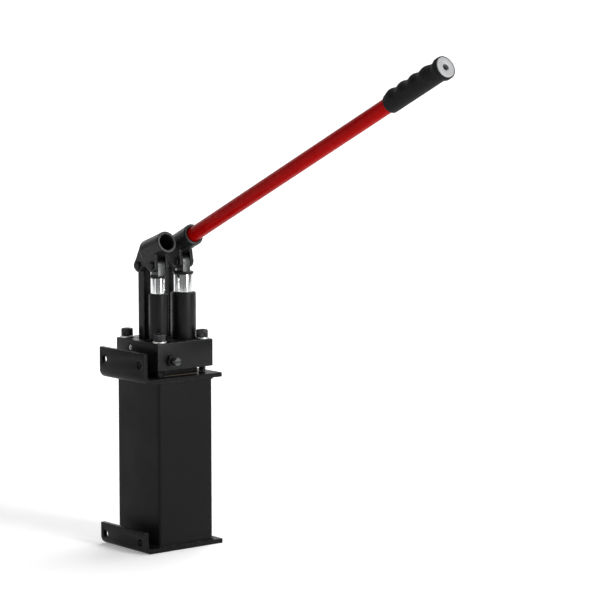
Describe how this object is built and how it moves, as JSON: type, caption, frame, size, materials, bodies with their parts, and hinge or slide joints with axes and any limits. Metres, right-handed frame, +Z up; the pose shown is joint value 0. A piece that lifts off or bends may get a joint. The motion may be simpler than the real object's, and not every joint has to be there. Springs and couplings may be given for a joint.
{
  "type": "hydraulic hand pump",
  "caption": "Two-stage hydraulic hand pump: upright black oil tank, steel pump block, two chromed plungers with lever sockets, one red handle with a rubber grip.",
  "frame": {"origin": "centre of the tank's footprint on the underside of the bottom plate", "axes": "+Z up, +X across the two plungers from the small to the large one, -Y the way the handle points"},
  "size_m": [0.131, 0.6173, 0.6773],
  "materials": {
    "black_paint": "satin black enamel",
    "black_steel": "blackened steel, slightly oily",
    "zinc_plate": "bright zinc plate",
    "hard_chrome": "ground hard chrome",
    "bright_steel": "turned steel",
    "red_paint": "dark red enamel",
    "grip_rubber": "matt moulded rubber",
    "grey_cap": "pale grey turned end cap",
    "gasket_fibre": "compressed fibre sheet",
    "seal_rubber": "nitrile rubber",
    "brass": "plain brass"
  },
  "bodies": {
    "root": {"block_gasket": "gasket_fibre", "bolt_back_left": "black_steel", "bolt_back_right": "black_steel", "bolt_front_left": "black_steel", "bolt_front_right": "black_steel", "bottom_plate": "black_paint", "filler_plug": "zinc_plate", "filler_washer": "brass", "gallery_plug": "bright_steel", "left_barrel": "black_steel", "left_link_base_pin": "bright_steel", "left_rod_seal": "seal_rubber", "left_wiper_ring": "seal_rubber", "outlet_adaptor": "zinc_plate", "outlet_spring": "bright_steel", "pump_block": "black_steel", "release_gland_nut": "black_steel", "relief_screw": "bright_steel", "relief_spring": "bright_steel", "right_barrel": "black_steel", "right_link_base_pin": "bright_steel", "right_rod_seal": "seal_rubber", "right_wiper_ring": "seal_rubber", "spacer_frame": "black_steel", "suction_pipe": "bright_steel", "suction_strainer": "brass", "tank_gasket": "gasket_fibre", "tank_shell": "black_paint", "top_plate": "black_paint", "washer_back_left": "zinc_plate", "washer_back_right": "zinc_plate", "washer_front_left": "zinc_plate", "washer_front_right": "zinc_plate"},
    "left_link": {"left_link": "black_steel"},
    "right_link": {"right_link": "black_steel"},
    "left_lever": {"left_lever_socket": "black_steel", "left_plunger_pin": "black_steel", "left_link_top_pin": "black_steel"},
    "right_lever": {"right_lever_socket": "black_steel", "right_plunger_pin": "black_steel", "right_link_top_pin": "black_steel"},
    "left_plunger": {"left_plunger": "hard_chrome", "left_plunger_head": "black_steel"},
    "right_plunger": {"right_plunger": "hard_chrome", "right_plunger_head": "black_steel"},
    "handle": {"handle_tube": "red_paint", "handle_grip": "grip_rubber", "handle_end_cap": "grey_cap"},
    "release_spindle": {"release_spindle": "bright_steel"},
    "left_inlet_ball": {"left_inlet_ball": "bright_steel"},
    "right_inlet_ball": {"right_inlet_ball": "bright_steel"},
    "outlet_ball": {"outlet_ball": "bright_steel"},
    "relief_ball": {"relief_ball": "bright_steel"}
  },
  "joints": [
    {"name": "left_link_rock", "type": "hinge", "parent": "root", "child": "left_link", "pos_m": [-0.021, 0.016, 0.272], "axis": [-1, 0, 0], "range_deg": [-0.26, 0.14]},
    {"name": "left_lever_swing", "type": "hinge", "parent": "left_link", "child": "left_lever", "pos_m": [-0.021, 0.01642, 0.3825], "axis": [-1, 0, 0], "range_deg": [-26, 14]},
    {"name": "left_plunger_stroke", "type": "slide", "parent": "root", "child": "left_plunger", "axis": [0, 0, 1], "range_m": [-0.01417, 0.00764]},
    {"name": "right_link_rock", "type": "hinge", "parent": "root", "child": "right_link", "pos_m": [0.021, 0.016, 0.272], "axis": [-1, 0, 0], "range_deg": [-0.64, 0.16]},
    {"name": "right_lever_swing", "type": "hinge", "parent": "right_link", "child": "right_lever", "pos_m": [0.021, 0.01608, 0.3825], "axis": [-1, 0, 0], "range_deg": [-32, 8]},
    {"name": "right_plunger_stroke", "type": "slide", "parent": "root", "child": "right_plunger", "axis": [0, 0, 1], "range_m": [-0.0176, 0.00442]},
    {"name": "handle_withdraw", "type": "slide", "parent": "right_lever", "child": "handle", "axis": [0, -0.9033, 0.4289], "range_m": [0, 0.049]},
    {"name": "release_turn", "type": "hinge", "parent": "root", "child": "release_spindle", "pos_m": [-0.025, -0.048, 0.259], "axis": [0, -1, 0], "range_deg": [0, 360]},
    {"name": "left_inlet_lift", "type": "slide", "parent": "root", "child": "left_inlet_ball", "axis": [0, 0, 1], "range_m": [0, 0.0012]},
    {"name": "right_inlet_lift", "type": "slide", "parent": "root", "child": "right_inlet_ball", "axis": [0, 0, 1], "range_m": [0, 0.0012]},
    {"name": "outlet_lift", "type": "slide", "parent": "root", "child": "outlet_ball", "axis": [0, 1, 0], "range_m": [0, 0.0012], "stiffness_N_per_m": 400, "deforming": ["outlet_spring"]},
    {"name": "relief_lift", "type": "slide", "parent": "root", "child": "relief_ball", "axis": [1, 0, 0], "range_m": [0, 0.0008], "stiffness_N_per_m": 400, "deforming": ["relief_spring"]}
  ],
  "couplings": [
    {"joint": "left_link_rock", "follows": "left_lever_swing", "ratio": 0.01},
    {"joint": "left_plunger_stroke", "follows": "left_lever_swing", "m_per_rad": 0.03115},
    {"joint": "right_link_rock", "follows": "right_lever_swing", "ratio": 0.02},
    {"joint": "right_plunger_stroke", "follows": "right_lever_swing", "m_per_rad": 0.03146}
  ]
}
